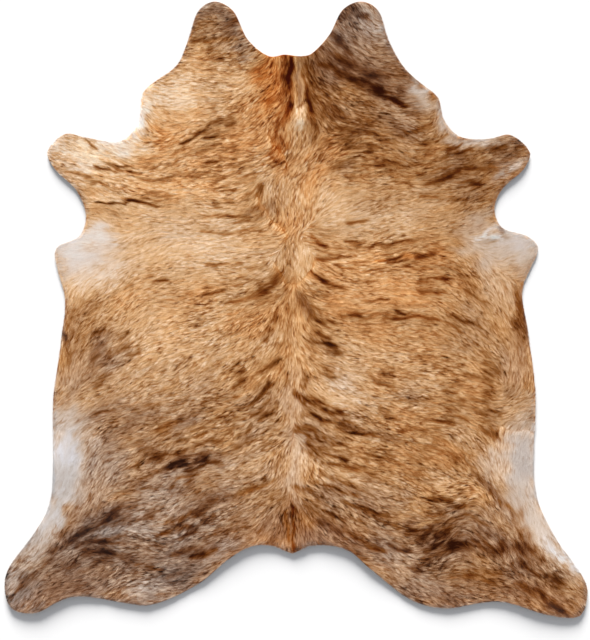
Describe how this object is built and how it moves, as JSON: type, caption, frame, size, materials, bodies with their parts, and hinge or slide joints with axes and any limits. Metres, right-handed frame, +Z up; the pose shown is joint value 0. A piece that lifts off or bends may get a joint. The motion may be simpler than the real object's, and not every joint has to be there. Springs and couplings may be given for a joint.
{
  "type": "cowhide rug",
  "caption": "Flat hair-on cowhide rug trimmed to the animal's natural outline, with a light golden brindle coat, a spine line and pale flanks.",
  "frame": {"origin": "on the floor, under the middle of the hide's box", "axes": "+Y towards the neck end along the spine, +Z up out of the hair side, +X to the right when looking down with the neck end away"},
  "size_m": [2.0768, 2.197, 0.0219],
  "materials": {
    "hair_on_hide": "short lying hair, golden tan with dark brown brindle streaks and cream flanks, softly glossy along the lie; suede flesh side and a pale cut edge"
  },
  "bodies": {
    "root": {"hide": "hair_on_hide"}
  },
  "joints": []
}
